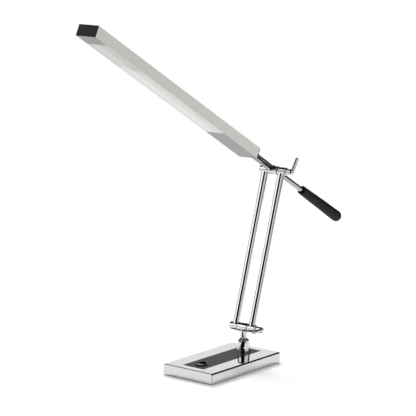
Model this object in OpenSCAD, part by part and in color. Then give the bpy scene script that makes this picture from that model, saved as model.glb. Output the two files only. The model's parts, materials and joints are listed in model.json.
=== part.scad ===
// Balance-arm desk lamp: weighted base, ball swivel, two-tube arm, counterweighted LED head.
// The origin is the middle of the base's resting face. +Z is up, -Y is the front, where the head reaches.

/* [Base] */
// Depth of the base, front to back
base_l = 202; // [165:1:245]
// Width of the base, left to right
base_w = 115; // [92:1:150]
// Height of the base above the table
base_h = 20.5; // [17:0.5:30]
// Radius on the base's outer edges
base_edge = 2.5; // [1:0.25:4]
// Thickness of the base's side walls
base_wall = 2.5; // [1.5:0.25:3.5]
// Thickness of the base's top
base_top = 4; // [3:0.25:5]
// Thickness of the foam sheet under the base
pad_t = 1; // [0.5:0.25:2]
// Chrome left bare in front of and behind the insert plate
plate_margin_l = 16.5; // [8:0.25:25]
// Chrome left bare on each side of the insert plate
plate_margin_w = 33; // [18:0.5:40]

/* [Swivel] */
// Distance from the insert plate's rear end to the swivel's axis
socket_inset = 22; // [18:0.5:30]
// Radius of the socket's foot
socket_foot_r = 12.9; // [10.7:0.1:16]
// Radius of the socket's shoulder
socket_shoulder_r = 10.7; // [8.9:0.1:12.9]
// Radius of the swivel ball
ball_r = 8; // [6.6:0.1:9.6]
// Radius of the post that carries the lower joint
stem_r = 6.5; // [5:0.1:8]
// Turn of the arm on the base at rest, in degrees
swivel_rest = 4.3; // [-30:0.1:30]
// Distance from the ball's centre to the lower joint's axis
post_l = 30.3; // [24:0.1:60]

/* [Arm] */
// Length of the arm between its two joint axes
arm_l = 299.5; // [200:0.5:400]
// Lean of the arm from upright at rest, in degrees
arm_lean = 19.2; // [0:0.1:40]
// Radius of the arm tubes
tube_r = 6.35; // [5:0.05:7.7]
// Wall of the arm tubes
tube_wall = 0.8; // [0.6:0.1:1.5]
// Length of the joint hubs between the sleeves
hub_l = 21.4; // [17.8:0.1:26]
// Radius of the joint hubs between the sleeves
hub_r = 8.2; // [6.8:0.1:10]
// Length of a lock lever from the joint axis to its tip
lever_l = 31; // [24:0.5:40]
// Radius of a lock lever's hub
knob_r = 5.5; // [4.5:0.1:7]

/* [Head] */
// Length of the lamp head
head_l = 550; // [400:1:700]
// Width of the lamp head
head_w = 40.5; // [33.5:0.5:60]
// Height of the lamp head
head_h = 20.5; // [17:0.5:30]
// Wall of the head's extrusion
head_wall = 1.2; // [0.8:0.1:2]
// Distance from the upper joint to the head's rear end
head_reach = 92; // [76:1:160]
// Rise of the head from level at rest, in degrees
head_pitch = 29.5; // [0:0.1:60]
// Distance from the head's front end to the lens
lens_start = 35; // [20:1:60]
// Length of the lens
lens_l = 391; // [250:1:470]

/* [Balance] */
// Radius of the two rods
rod_r = 4.75; // [3.9:0.05:5.7]
// Distance from the upper joint to the grip's front end
grip_start = 105; // [60:1:140]
// Length of the counterweight grip
grip_l = 155; // [100:1:220]
// Radius of the grip at its rod end
grip_r1 = 8.6; // [7.6:0.1:9.8]
// Radius of the grip at its round end
grip_r2 = 11.2; // [8.9:0.1:13]

/* [Hidden] */
$fn = 64;

// Fits
run_fit = 0.05;      // radial play of a shaft that turns in its bore
side_gap = 0.3;      // play between faces that move past each other
cut = 1;             // how far a cutting solid runs past what it cuts

// Joint bolts
bolt_r = 3;

// Base
cover_t = 1.2;
cover_z = pad_t + cover_t;
cover_play = 0.2;
pad_inset = 1.5;
inner_w = base_w - 2*base_wall;
inner_l = base_l - 2*base_wall;
inner_z = base_h - base_top;
boss_r = 4;
boss_inset = 8;
cover_screw_r = 1.5;
cover_screw_l = 9;
screw_head_r = 2.9;
plate_t = 1.8;
plate_recess = 1.6;
plate_l = base_l - 2*plate_margin_l;
plate_w = base_w - 2*plate_margin_w;
plate_top = base_h - plate_recess + plate_t;
weight_gap_w = 3;
weight_gap_l = 18;
weight_t = inner_z - cover_z - 3.8;
weight_w = inner_w - 2*weight_gap_w;
weight_l = inner_l - 2*weight_gap_l;
weight_screw_r = 2;
weight_screw_x = weight_w/2 - 8;

// Driver
pocket_w = 68;
pocket_l = 40;
board_w = 60;
board_l = 32;
board_t = 1.6;
board_drop = inner_z - cover_z - 4.9;
board_hole_x = board_w/2 - 4;
board_hole_y = board_l/2 - 4;
board_post_r = 2.6;
board_screw_r = 1.25;
board_screw_l = 5;
case_h = board_drop - 1.9;

// Rocker switch
switch_inset = 24;
switch_y = switch_inset - plate_l/2;
bezel_r = 11.5;
bezel_t = 1.6;
switch_r = 9.9;
switch_depth = plate_top - cover_z - 6.5;
rocker_r = 8.4;
rocker_play = 0.6;
rocker_pivot = 1;
rocker_tilt = 8;
rocker_rise = 2.4;
rocker_dip = 0.9;

// Power inlet
inlet_x = 32;
inlet_z = (cover_z + inner_z)/2;
inlet_r = 4.2;
inlet_flange_r = 5.6;
inlet_flange_t = 1.2;
inlet_depth = 12;
jack_r = 2.8;
jack_depth = 9.5;
jack_pin_r = 1;

// Ball swivel, heights from the plate's top face
socket_y = plate_l/2 - socket_inset;
socket_top_r = 6.2;
shank_r = ball_r + 2;
shank_l = plate_top - cover_z - 5.5;
ball_rise = ball_r + 7.5;
shoulder_rise = ball_rise + 5.5;
socket_rise = ball_rise + ball_r + 1.7;
ball_z = plate_top + ball_rise;
low_pivot_z = ball_z + post_l;
ball_flat = ball_r - 0.1;
neck_r = 3.5;
neck_play = 0.3;
pin_r = 2.95;
pin_depth = 5;
notch_floor = 3;
stem_start = ball_r + 3.9;
spigot_r = 4;
spigot_l = hub_r - bolt_r - 1.2;
wire_r = 1.6;
seat_t = 6;
seat_bore_r = 3;
plug_t = 4;
nut_af = 2*shank_r + 7;
nut_t = 4;
nut_washer_t = 1;
nut_washer_r = shank_r + 4.5;
nut_room_r = shank_r + 7;

// Joints of the arm
hub_half = hub_l/2;
washer_t = 0.6;
friction_washer_r = hub_r - 1.2;
bolt_head_r = 5;
bolt_head_t = 4;
sleeve_r = tube_r + 1.15;
sleeve_start = hub_half + washer_t + side_gap;
tube_x = sleeve_start + tube_r + 0.05;
sleeve_end = tube_x + tube_r + 3.65;
sleeve_bevel = 0.6;
clamp_t = 1.2;
clamp_r = sleeve_r - 0.5;
knob_start = sleeve_end + clamp_t + side_gap;
knob_l = 15;
knob_end = knob_start + knob_l;
lever_r = 3.2;
lower_lever_turn = 86;
upper_lever_turn = -37;
thread_l = 6;

// Beam
rod_x = hub_half - rod_r - 1.65;
rod_stop = bolt_r + 0.7;
lead_r = 2;
lead_bore_r = lead_r + 0.1;
gland_r = 3.55;
lead_z = 3.4;
lead_x = sqrt(pow(rod_r + gland_r + 0.4, 2) - pow(lead_z, 2)) - rod_x;
gland_stub_r = lead_bore_r + 0.7;
gland_end = 11;
relief_l = 23;
relief_tip_r = lead_bore_r + 1;
relief_r = relief_tip_r + 0.4;
relief_ring = 2.2;
relief_groove = 0.35;
relief_bore_r = lead_bore_r + 0.7;
head_rear = -head_reach;
head_front = head_rear - head_l;
cap_t = 1.5;
cap_rim = 1.7;
cap_recess = 0.5;
plug_l = 8;
plug_wall = 1.5;
head_in_w = head_w - 2*head_wall;
head_in_h = head_h - 2*head_wall;
block_l = 26;
cap_screw_x = head_w/2 - 5.25;
cap_screw_r = 1.25;
cap_screw_l = 10;
lens_y0 = head_front + lens_start;
lens_lip = 4.1;
lens_t = 1.5;
lens_z = -head_h/2;
carrier_t = 1.5;
carrier_z = -0.5;
board_strip_w = head_in_w - 14;
board_strip_t = 1.2;
board_end_gap = 5;
chip_pitch = 10;
chip_w = 3.5;
chip_t = 0.7;
weight_bar_r = grip_r1 - 1.1;
weight_bar_start = grip_start + 12;
weight_bar_end = grip_start + grip_l - grip_r2 - 4;
rod_in_bar = 20;
mouth_r = (rod_r + grip_r1)/2 - 0.2;
mouth_depth = 6;

// The lead's route from the gland to the strain relief, in the beam's own frame
lead_from = -gland_end - 9;
lead_to = head_rear + relief_l + 4;
lead_mid = (lead_from + lead_to)/2;
lead_offsets = [
  [0, -gland_end + 5, 0], [0, -gland_end - 1, 0], [0, lead_from, 0], [0.1, (lead_from + lead_mid)/2, 0.2],
  [0.2, lead_mid, 0.3], [0.2, (lead_mid + lead_to)/2, 0.2], [0.1, lead_to, 0], [0, lead_to - 8, 0],
  [0, head_rear + 2, 0], [0, head_rear - 12, 0]
];
lead_route = [for (p = lead_offsets) [lead_x + p[0], p[1], lead_z + p[2]]];
lead_sides = 8;

// ---- shapes used by several pieces ----

// Cylinder along X from x0 to x1
module bar_x(r, x0, x1) {
  translate([x0, 0, 0]) rotate([0, 90, 0]) cylinder(r = r, h = x1 - x0);
}

// Cylinder along Y from y0 to y1
module bar_y(r, y0, y1) {
  translate([0, y1, 0]) rotate([90, 0, 0]) cylinder(r = r, h = y1 - y0);
}

// Cone along Y, radius r0 at y0 and r1 at y1
module cone_y(r0, r1, y0, y1) {
  translate([0, y1, 0]) rotate([90, 0, 0]) cylinder(r1 = r1, r2 = r0, h = y1 - y0);
}

// Box centred on X and Y that stands on z0
module block(w, l, z0, z1) {
  translate([-w/2, -l/2, z0]) cube([w, l, z1 - z0]);
}

// Places a copy at the four corners of a rectangle
module corners(x, y) {
  for (sx = [-1, 1], sy = [-1, 1]) translate([sx*x, sy*y, 0]) children();
}

// Rectangle with round corners, extruded
module round_slab(w, l, r, z0, z1) {
  union() {
    block(w - 2*r, l, z0, z1);
    block(w, l - 2*r, z0, z1);
    corners(w/2 - r, l/2 - r) translate([0, 0, z0]) cylinder(r = r, h = z1 - z0);
  }
}

// Round slab whose top edges are rounded too
module soft_slab(w, l, r, z0, z1) {
  union() {
    round_slab(w, l, r, z0, z1 - r);
    block(w - 2*r, l - 2*r, z0, z1);
    corners(w/2 - r, l/2 - r) translate([0, 0, z1 - r]) sphere(r = r);
    for (s = [-1, 1]) {
      translate([0, s*(l/2 - r), z1 - r]) bar_x(r, r - w/2, w/2 - r);
      translate([s*(w/2 - r), 0, z1 - r]) bar_y(r, r - l/2, l/2 - r);
    }
  }
}

// ---- frames of the moving bodies at rest ----

module in_socket() {
  translate([0, socket_y, 0]) children();
}

module in_stem() {
  in_socket() rotate([0, 0, swivel_rest]) children();
}

module in_lower_joint() {
  in_stem() translate([0, 0, low_pivot_z]) children();
}

module in_arm() {
  in_lower_joint() rotate([-arm_lean, 0, 0]) children();
}

module in_upper_joint() {
  in_arm() translate([0, 0, arm_l]) rotate([arm_lean, 0, 0]) children();
}

// The beam's own frame: -Y runs along the head, +Y along the balance rod, +Z out of the head's top
module in_beam() {
  in_upper_joint() rotate([-head_pitch, 0, 0]) children();
}

// ---- base ----

module base_shell() color("silver") difference() {
  union() {
    difference() {
      soft_slab(base_w, base_l, base_edge, pad_t, base_h);
      block(inner_w, inner_l, pad_t - cut, inner_z);
    }
    corners(inner_w/2 - boss_inset, inner_l/2 - boss_inset)
      translate([0, 0, cover_z]) cylinder(r = boss_r, h = inner_z - cover_z);
    corners(board_hole_x, board_hole_y)
      translate([0, 0, inner_z - board_drop]) cylinder(r = board_post_r, h = board_drop);
  }
  block(plate_w, plate_l, base_h - plate_recess, base_h + cut);
  translate([0, switch_y, inner_z - cut]) cylinder(r = switch_r, h = base_top + 2*cut);
  translate([0, socket_y, inner_z - cut]) cylinder(r = shank_r, h = base_top + 2*cut);
  corners(inner_w/2 - boss_inset, inner_l/2 - boss_inset)
    translate([0, 0, cover_z - cut]) cylinder(r = cover_screw_r, h = cover_screw_l);
  corners(board_hole_x, board_hole_y)
    translate([0, 0, inner_z - board_drop - cut]) cylinder(r = board_screw_r, h = board_screw_l + cut);
  for (s = [-1, 1])
    translate([s*weight_screw_x, 0, inner_z - cut]) cylinder(r = weight_screw_r, h = 2.5 + cut);
  translate([inlet_x, 0, inlet_z]) bar_y(inlet_r, inner_l/2 - cut, base_l/2 + cut);
}

module base_weight() color("dimgray") difference() {
  block(weight_w, weight_l, inner_z - weight_t, inner_z);
  block(pocket_w, pocket_l, inner_z - weight_t - cut, inner_z + cut);
  translate([0, switch_y, inner_z - weight_t - cut]) cylinder(r = bezel_r + 1.5, h = weight_t + 2*cut);
  translate([0, socket_y, inner_z - weight_t - cut]) {
    cylinder(r = nut_room_r, h = weight_t + 2*cut);
    translate([-nut_room_r, 0, 0]) cube([2*nut_room_r, weight_l, weight_t + 2*cut]);
  }
  for (s = [-1, 1]) translate([s*weight_screw_x, 0, inner_z - weight_t - cut]) {
    cylinder(r = weight_screw_r, h = weight_t + 2*cut);
    cylinder(r = 2*weight_screw_r, h = 2.5 + cut);
  }
}

module weight_screws() color("silver") for (s = [-1, 1])
  translate([s*weight_screw_x, 0, inner_z - weight_t]) {
    cylinder(r = 2*weight_screw_r, h = 2.5);
    cylinder(r = weight_screw_r, h = weight_t + 2.5);
  }

module base_cover() color("black") difference() {
  block(inner_w - 2*cover_play, inner_l - 2*cover_play, pad_t, cover_z);
  corners(inner_w/2 - boss_inset, inner_l/2 - boss_inset) translate([0, 0, pad_t]) {
    translate([0, 0, -cut]) cylinder(r = cover_screw_r, h = cover_t + 2*cut);
    cylinder(r1 = screw_head_r, r2 = cover_screw_r, h = cover_t);
  }
}

// Foam sheet glued over the cover and its screws: the face the lamp stands on
module base_pad() color("black")
  round_slab(base_w - 2*pad_inset, base_l - 2*pad_inset, base_edge, 0, pad_t);

module cover_screws() color("silver")
  corners(inner_w/2 - boss_inset, inner_l/2 - boss_inset) translate([0, 0, pad_t]) {
    cylinder(r1 = screw_head_r, r2 = cover_screw_r, h = cover_t);
    cylinder(r = cover_screw_r, h = cover_t + cover_screw_l - cut);
  }

module insert_plate() color("darkslategray") difference() {
  block(plate_w, plate_l, base_h - plate_recess, plate_top);
  translate([0, switch_y, base_h - plate_recess - cut]) cylinder(r = switch_r, h = plate_t + 2*cut);
  translate([0, socket_y, base_h - plate_recess - cut]) cylinder(r = shank_r, h = plate_t + 2*cut);
}

// ---- rocker switch ----

module switch_body() color("black") translate([0, switch_y, plate_top]) difference() {
  union() {
    cylinder(r = bezel_r, h = bezel_t);
    translate([0, 0, -switch_depth]) cylinder(r = switch_r, h = switch_depth);
  }
  translate([0, 0, -switch_depth/2]) cylinder(r = rocker_r + rocker_play, h = switch_depth + bezel_t);
  bar_x(rocker_pivot + run_fit, -switch_r + 0.4, switch_r - 0.4);
}

module switch_terminals() color("gold") for (s = [-1, 1])
  translate([s*4, switch_y, plate_top - switch_depth]) block(0.8, 4.8, -4, 0);

// The rocker rests pressed down at its front edge
module switch_rocker() color("black") translate([0, switch_y, plate_top]) {
  rotate([rocker_tilt, 0, 0]) intersection() {
    translate([0, 0, -6]) cylinder(r = rocker_r, h = 12);
    rotate([90, 0, 90]) linear_extrude(height = 2*rocker_r, center = true) polygon([
      [-rocker_r, rocker_rise], [0, rocker_dip], [rocker_r, rocker_rise], [rocker_r, -1], [2.5, -3.5],
      [-2.5, -3.5], [-rocker_r, -1]
    ]);
  }
  bar_x(rocker_pivot, -switch_r + 0.8, switch_r - 0.8);
}

// ---- power and driver ----

module power_inlet() color("black") translate([inlet_x, 0, inlet_z]) {
  difference() {
    union() {
      bar_y(inlet_flange_r, base_l/2, base_l/2 + inlet_flange_t);
      bar_y(inlet_r, base_l/2 - inlet_depth, base_l/2 + inlet_flange_t);
    }
    bar_y(jack_r, base_l/2 + inlet_flange_t - jack_depth, base_l/2 + inlet_flange_t + cut);
  }
  bar_y(jack_pin_r, base_l/2 - jack_depth, base_l/2);
}

module driver_board() color("darkgreen") difference() {
  block(board_w, board_l, inner_z - board_drop - board_t, inner_z - board_drop);
  corners(board_hole_x, board_hole_y)
    translate([0, 0, inner_z - board_drop - board_t - cut]) cylinder(r = board_screw_r, h = board_t + 2*cut);
}

module driver_components() color("dimgray") translate([0, 0, inner_z - board_drop]) {
  translate([-12, 0, 0]) block(16, 14, 0, case_h);
  for (x = [3, 12]) translate([x, -4, 0]) cylinder(r = 3.5, h = case_h);
  translate([8, 7, 0]) block(10, 5, 0, 3);
}

module board_screws() color("silver") corners(board_hole_x, board_hole_y)
  translate([0, 0, inner_z - board_drop - board_t]) {
    translate([0, 0, -1.2]) cylinder(r = 2.2, h = 1.2);
    cylinder(r = board_screw_r, h = board_t + board_screw_l);
  }

// ---- ball swivel ----

// Tapered socket with a notch at the front that lets the post tip forward
module swivel_socket() color("silver") in_socket() difference() {
  union() {
    rotate_extrude() polygon([
      [0, plate_top], [socket_foot_r, plate_top], [socket_shoulder_r, plate_top + shoulder_rise],
      [socket_top_r, plate_top + socket_rise], [0, plate_top + socket_rise]
    ]);
    translate([0, 0, plate_top - shank_l]) cylinder(r = shank_r, h = shank_l);
  }
  translate([0, 0, ball_z]) sphere(r = ball_r + 2*run_fit);
  translate([0, 0, plate_top - shank_l - cut])
    cylinder(r = ball_r + 2*run_fit, h = shank_l + ball_rise + cut);
  translate([0, 0, ball_z]) cylinder(r = neck_r + neck_play, h = socket_rise);
  translate([0, 0, ball_z + notch_floor + neck_r + neck_play]) {
    bar_y(neck_r + neck_play, -2*socket_foot_r, 0);
    translate([-neck_r - neck_play, -2*socket_foot_r, 0])
      cube([2*(neck_r + neck_play), 2*socket_foot_r, socket_rise]);
  }
}

module socket_washer() color("silver") in_socket() translate([0, 0, inner_z - nut_washer_t])
  difference() {
    cylinder(r = nut_washer_r, h = nut_washer_t);
    translate([0, 0, -cut]) cylinder(r = shank_r, h = nut_washer_t + 2*cut);
  }

module socket_nut() color("silver") in_socket() translate([0, 0, inner_z - nut_washer_t - nut_t])
  difference() {
    cylinder(r = nut_af/2/cos(30), h = nut_t, $fn = 6);
    translate([0, 0, -cut]) cylinder(r = shank_r, h = nut_t + 2*cut);
  }

module ball_seat() color("white") in_socket() difference() {
  translate([0, 0, ball_z - ball_r/2 - seat_t]) cylinder(r = ball_r + run_fit, h = seat_t);
  translate([0, 0, ball_z]) sphere(r = ball_r + 2*run_fit);
  translate([0, 0, ball_z - 2*ball_r]) cylinder(r = seat_bore_r, h = 2*ball_r);
}

module seat_plug() color("silver") in_socket() difference() {
  translate([0, 0, ball_z - ball_r/2 - seat_t - plug_t]) cylinder(r = ball_r + run_fit, h = plug_t);
  translate([0, 0, ball_z - 2.5*ball_r]) cylinder(r = seat_bore_r, h = 2*ball_r);
}

module swivel_ball() color("silver") in_socket() translate([0, 0, ball_z]) difference() {
  sphere(r = ball_r);
  translate([0, 0, ball_flat]) block(2*ball_r, 2*ball_r, 0, cut);
  translate([0, 0, -2*ball_r]) cylinder(r = wire_r, h = 2*ball_r);
  translate([0, 0, -pin_depth - side_gap]) cylinder(r = pin_r + run_fit, h = 2*ball_r);
}

// ---- post and hubs ----

module stem_post() color("silver") in_stem() difference() {
  union() {
    translate([0, 0, ball_z - pin_depth]) cylinder(r = pin_r, h = pin_depth + ball_r + side_gap);
    translate([0, 0, ball_z + ball_r + side_gap])
      cylinder(r = neck_r, h = stem_start - ball_r - side_gap);
    difference() {
      translate([0, 0, ball_z + stem_start]) cylinder(r = stem_r, h = low_pivot_z - ball_z - stem_start);
      translate([0, 0, low_pivot_z]) bar_x(hub_r, -hub_half, hub_half);
    }
    translate([0, 0, low_pivot_z - hub_r - cut]) cylinder(r = spigot_r, h = spigot_l + cut);
  }
  translate([0, 0, ball_z - pin_depth - cut]) cylinder(r = wire_r, h = low_pivot_z - ball_z);
}

// Hub between the sleeves of a joint, bored for its bolt
module hub() difference() {
  bar_x(hub_r, -hub_half, hub_half);
  bar_x(bolt_r + run_fit, -hub_half - cut, hub_half + cut);
}

module lower_hub() color("silver") in_lower_joint() difference() {
  hub();
  translate([0, 0, -hub_r - cut]) cylinder(r = spigot_r, h = spigot_l + cut);
}

module upper_hub() color("silver") in_beam() difference() {
  hub();
  translate([-rod_x, 0, 0]) bar_y(rod_r, -hub_r - cut, -rod_stop);
  translate([rod_x, 0, 0]) bar_y(rod_r, rod_stop, hub_r + cut);
  translate([lead_x, 0, lead_z]) bar_y(gland_stub_r, -hub_r - cut, -rod_stop);
}

// Thin washers on both ends of a hub
module hub_washers() for (s = [-1, 1]) scale([s, 1, 1]) difference() {
  bar_x(friction_washer_r, hub_half, hub_half + washer_t);
  bar_x(bolt_r + run_fit, hub_half - cut, hub_half + washer_t + cut);
}

module lower_friction_washers() color("black") in_lower_joint() hub_washers();
module upper_friction_washers() color("black") in_upper_joint() hub_washers();

// ---- arm ----

// Sleeve at the tube's end, bored for the bolt and bevelled at its outer end
module sleeve() difference() {
  union() {
    bar_x(sleeve_r, sleeve_start, sleeve_end - sleeve_bevel);
    translate([sleeve_end - sleeve_bevel, 0, 0]) rotate([0, 90, 0])
      cylinder(r1 = sleeve_r, r2 = sleeve_r - sleeve_bevel, h = sleeve_bevel);
  }
  bar_x(bolt_r, sleeve_start - cut, sleeve_end + cut);
}

// Left sleeve, counterbored for the bolt's head
module head_sleeve() difference() {
  mirror([1, 0, 0]) sleeve();
  bar_x(bolt_head_r, -sleeve_end - cut, -sleeve_end + bolt_head_t);
}

// Bolt with a socket head at the left and its thread in the lever at the right
module pivot_bolt() difference() {
  union() {
    bar_x(bolt_head_r, -sleeve_end, -sleeve_end + bolt_head_t);
    bar_x(bolt_r, -sleeve_end + bolt_head_t, knob_start + thread_l);
  }
  translate([-sleeve_end - cut, 0, 0]) rotate([0, 90, 0]) cylinder(r = 2.5, h = cut + 2.5, $fn = 6);
}

module clamp_washer() difference() {
  bar_x(clamp_r, sleeve_end, sleeve_end + clamp_t);
  bar_x(bolt_r, sleeve_end - cut, sleeve_end + clamp_t + cut);
}

// Lock lever: a round hub on the bolt's thread, with an arm that stands out at its end
module lock_lever() difference() {
  union() {
    bar_x(knob_r, knob_start, knob_end - knob_r);
    translate([knob_end - knob_r, 0, 0]) sphere(r = knob_r);
    translate([knob_end - lever_r, 0, 0]) {
      sphere(r = lever_r);
      cylinder(r = lever_r, h = lever_l - lever_r);
      translate([0, 0, lever_l - lever_r]) sphere(r = lever_r);
    }
  }
  bar_x(bolt_r + run_fit, knob_start - cut, knob_start + thread_l + side_gap);
}

// Tube coped to the sleeves at both ends
module arm_tube(x) difference() {
  translate([x, 0, 0]) cylinder(r = tube_r, h = arm_l);
  translate([x, 0, -cut]) cylinder(r = tube_r - tube_wall, h = arm_l + 2*cut);
  for (z = [0, arm_l]) translate([0, 0, z]) bar_x(sleeve_r, -sleeve_end, sleeve_end);
}

module lower_sleeve_left() color("silver") in_arm() head_sleeve();
module lower_sleeve_right() color("silver") in_arm() sleeve();
module lower_pivot_bolt() color("silver") in_arm() pivot_bolt();
module lower_clamp_washer() color("silver") in_arm() clamp_washer();
module lower_lock_lever() color("silver") in_lower_joint() rotate([lower_lever_turn, 0, 0]) lock_lever();
module tube_left() color("silver") in_arm() arm_tube(-tube_x);
module tube_right() color("silver") in_arm() arm_tube(tube_x);
module upper_sleeve_left() color("silver") in_upper_joint() head_sleeve();
module upper_sleeve_right() color("silver") in_upper_joint() sleeve();
module upper_pivot_bolt() color("silver") in_upper_joint() pivot_bolt();
module upper_clamp_washer() color("silver") in_upper_joint() clamp_washer();
module upper_lock_lever() color("silver") in_upper_joint() rotate([upper_lever_turn, 0, 0]) lock_lever();

// ---- beam: rods, counterweight and lead ----

module head_rod() color("silver") in_beam() translate([-rod_x, 0, 0])
  bar_y(rod_r, head_rear - cap_t - block_l, -rod_stop);

module balance_rod() color("silver") in_beam() translate([rod_x, 0, 0])
  bar_y(rod_r, rod_stop, weight_bar_start + rod_in_bar);

module counterweight() color("dimgray") in_beam() translate([rod_x, 0, 0]) difference() {
  bar_y(weight_bar_r, weight_bar_start, weight_bar_end);
  bar_y(rod_r, weight_bar_start - cut, weight_bar_start + rod_in_bar);
}

// Rubber grip: a taper with a round end, open at the front around the rod
module counterweight_grip() color("black") in_beam() translate([rod_x, 0, 0]) difference() {
  union() {
    cone_y(grip_r1, grip_r2, grip_start, grip_start + grip_l - grip_r2);
    translate([0, grip_start + grip_l - grip_r2, 0]) sphere(r = grip_r2);
  }
  bar_y(mouth_r, grip_start - cut, grip_start + mouth_depth);
  bar_y(rod_r, grip_start - cut, weight_bar_start + cut);
  bar_y(weight_bar_r, weight_bar_start, weight_bar_end);
}

module lead_gland() color("black") in_beam() translate([lead_x, 0, lead_z]) difference() {
  union() {
    bar_y(gland_stub_r, -hub_r, -rod_stop);
    difference() {
      bar_y(gland_r, -gland_end, -rod_stop);
      translate([0, 0, -lead_z]) bar_x(hub_r, -hub_half, hub_half);
    }
  }
  bar_y(lead_bore_r, -gland_end - cut, 0);
}

// Points of a circle of the tube's section around route point i, square to the route
function step(p, i) = p[min(i + 1, len(p) - 1)] - p[max(i - 1, 0)];
function unit(v) = v/norm(v);
function ring(p, i, r, n) =
  let (d = unit(step(p, i)), u = unit(cross([0, 0, 1], d)), v = cross(d, u))
  [for (k = [0:n - 1]) p[i] + r*(u*cos(360*k/n) + v*sin(360*k/n))];

// Closed tube of radius r with n sides along the route p
module swept_tube(p, r, n) {
  m = len(p);
  points = [for (i = [0:m - 1]) each ring(p, i, r, n)];
  sides = [for (i = [0:m - 2], k = [0:n - 1])
    [i*n + k, i*n + (k + 1) % n, (i + 1)*n + (k + 1) % n, (i + 1)*n + k]];
  ends = [[for (k = [n - 1:-1:0]) k], [for (k = [0:n - 1]) (m - 1)*n + k]];
  polyhedron(points, concat(sides, ends));
}

module head_lead() color("black") in_beam() swept_tube(lead_route, lead_r, lead_sides);

// Ribbed strain relief on the head's rear end
module strain_relief() color("black") in_beam() translate([lead_x, 0, lead_z]) difference() {
  union() {
    bar_y(relief_bore_r, head_rear - cap_t, head_rear);
    cone_y(relief_r, relief_tip_r, head_rear, head_rear + relief_l);
  }
  for (k = [1:floor(relief_l/relief_ring) - 1]) translate([0, head_rear + k*relief_ring, 0]) difference() {
    bar_y(relief_r + cut, 0, relief_ring/3);
    bar_y(relief_tip_r - relief_groove, -cut, relief_ring);
  }
  bar_y(lead_bore_r, head_rear - cap_t - cut, head_rear + relief_l + cut);
}

// ---- lamp head ----

// Box around the beam's axis between two heights and two stations
module head_box(w, z0, z1, y0, y1) {
  translate([-w/2, y0, z0]) cube([w, y1 - y0, z1 - z0]);
}

module head_housing() color("silver") in_beam() difference() {
  head_box(head_w, -head_h/2, head_h/2, head_front + cap_t, head_rear - cap_t);
  head_box(head_in_w, -head_in_h/2, head_in_h/2, head_front, head_rear);
  head_box(head_w + 2*cut, -head_h/2 - cut, -head_h/2 + lens_lip, lens_y0, lens_y0 + lens_l);
}

// Frosted cover: the head's underside and the lower edges of its sides
module lens() color("white") in_beam() difference() {
  head_box(head_w, lens_z, lens_z + lens_lip, lens_y0, lens_y0 + lens_l);
  head_box(head_w - 2*lens_t, lens_z + lens_t, lens_z + lens_lip + cut, lens_y0 + lens_t,
    lens_y0 + lens_l - lens_t);
}

module led_carrier() color("silver") in_beam()
  head_box(head_in_w, carrier_z, carrier_z + carrier_t, lens_y0, lens_y0 + lens_l);

module led_board() color("white") in_beam()
  head_box(board_strip_w, carrier_z - board_strip_t, carrier_z, lens_y0 + board_end_gap,
    lens_y0 + lens_l - board_end_gap);

module led_chips() color("gold") in_beam()
  for (y = [lens_y0 + 2*board_end_gap:chip_pitch:lens_y0 + lens_l - 2*board_end_gap - chip_w])
    head_box(chip_w, carrier_z - board_strip_t - chip_t, carrier_z - board_strip_t, y, y + chip_w);

// Moulded cap: a rim around a sunk face, with a hollow plug inside the housing
module front_cap() color("black") in_beam() difference() {
  union() {
    head_box(head_w, -head_h/2, head_h/2, head_front, head_front + cap_t);
    head_box(head_in_w, -head_in_h/2, head_in_h/2, head_front + cap_t, head_front + cap_t + plug_l);
  }
  head_box(head_w - 2*cap_rim, cap_rim - head_h/2, head_h/2 - cap_rim, head_front - cut,
    head_front + cap_recess);
  head_box(head_in_w - 2*plug_wall, plug_wall - head_in_h/2, head_in_h/2 - plug_wall,
    head_front + cap_t, head_front + cap_t + plug_l + cut);
}

module rear_cap() color("black") in_beam() difference() {
  head_box(head_w, -head_h/2, head_h/2, head_rear - cap_t, head_rear);
  translate([-rod_x, 0, 0]) bar_y(rod_r, head_rear - cap_t - cut, head_rear + cut);
  translate([lead_x, 0, lead_z]) bar_y(relief_bore_r, head_rear - cap_t - cut, head_rear + cut);
  for (s = [-1, 1])
    translate([s*cap_screw_x, 0, 0]) bar_y(cap_screw_r, head_rear - cap_t - cut, head_rear + cut);
}

module rod_block() color("silver") in_beam() difference() {
  head_box(head_in_w, -head_in_h/2, head_in_h/2, head_rear - cap_t - block_l, head_rear - cap_t);
  translate([-rod_x, 0, 0]) bar_y(rod_r, head_rear - cap_t - block_l - cut, head_rear);
  translate([lead_x, 0, lead_z]) bar_y(relief_bore_r, head_rear - cap_t - block_l - cut, head_rear);
  for (s = [-1, 1])
    translate([s*cap_screw_x, 0, 0]) bar_y(cap_screw_r, head_rear - cap_screw_l, head_rear);
}

module cap_screws() color("silver") in_beam() for (s = [-1, 1]) translate([s*cap_screw_x, 0, 0]) {
  bar_y(2*cap_screw_r, head_rear, head_rear + 1);
  bar_y(cap_screw_r, head_rear - cap_screw_l, head_rear);
}

base_shell();
base_weight();
weight_screws();
base_cover();
base_pad();
cover_screws();
insert_plate();
switch_body();
switch_terminals();
switch_rocker();
power_inlet();
driver_board();
driver_components();
board_screws();
swivel_socket();
socket_washer();
socket_nut();
ball_seat();
seat_plug();
swivel_ball();
stem_post();
lower_hub();
lower_friction_washers();
lower_sleeve_left();
lower_sleeve_right();
lower_pivot_bolt();
lower_clamp_washer();
lower_lock_lever();
tube_left();
tube_right();
upper_sleeve_left();
upper_sleeve_right();
upper_pivot_bolt();
upper_clamp_washer();
upper_lock_lever();
upper_hub();
upper_friction_washers();
head_rod();
balance_rod();
counterweight();
counterweight_grip();
lead_gland();
head_lead();
strain_relief();
rod_block();
cap_screws();
head_housing();
front_cap();
rear_cap();
lens();
led_carrier();
led_board();
led_chips();
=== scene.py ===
"""Balance-arm desk lamp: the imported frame, dressed with worked pieces and finishes, in soft light."""

import json
import math

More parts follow.
